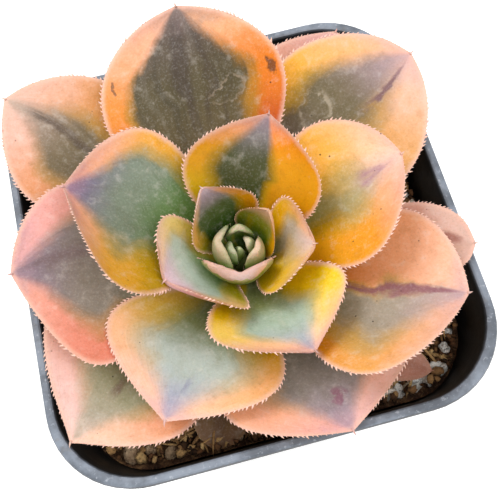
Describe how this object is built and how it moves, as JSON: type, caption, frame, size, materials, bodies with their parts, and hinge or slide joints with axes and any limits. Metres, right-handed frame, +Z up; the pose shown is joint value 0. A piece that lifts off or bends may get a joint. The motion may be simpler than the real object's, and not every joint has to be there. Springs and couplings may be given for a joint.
{
  "type": "potted rosette succulent",
  "caption": "Variegated rosette succulent with toothed fleshy leaves in a square tapered nursery pot filled with gritty soil.",
  "frame": {"origin": "centre of the pot's flat underside", "axes": "+Z up; X and Y run along the sides of the square pot, with -Y the side the plant's lowest leaves face"},
  "size_m": [0.0907, 0.0926, 0.1038],
  "materials": {
    "pot": "satin black, scuffed grey along the rim",
    "soil": "matte",
    "stem": "matte",
    "leaf": "satin",
    "pumice": "matte",
    "perlite": "matte"
  },
  "bodies": {
    "root": {"pot": "pot", "soil": "soil", "stem": "stem", "leaf_01": "leaf", "leaf_02": "leaf", "leaf_03": "leaf", "leaf_04": "leaf", "leaf_05": "leaf", "leaf_06": "leaf", "leaf_07": "leaf", "leaf_08": "leaf", "leaf_09": "leaf", "leaf_10": "leaf", "leaf_11": "leaf", "leaf_12": "leaf", "leaf_13": "leaf", "leaf_14": "leaf", "leaf_15": "leaf", "leaf_16": "leaf", "leaf_17": "leaf", "leaf_18": "leaf", "leaf_19": "leaf", "leaf_20": "leaf", "leaf_21": "leaf", "leaf_22": "leaf", "leaf_23": "leaf", "leaf_24": "leaf", "leaf_25": "leaf", "leaf_26": "leaf", "leaf_27": "leaf", "stone_01": "pumice", "stone_02": "pumice", "stone_03": "pumice", "stone_04": "pumice", "stone_05": "perlite", "stone_06": "pumice", "stone_07": "perlite", "stone_08": "perlite", "stone_09": "perlite", "stone_10": "perlite"}
  },
  "joints": []
}
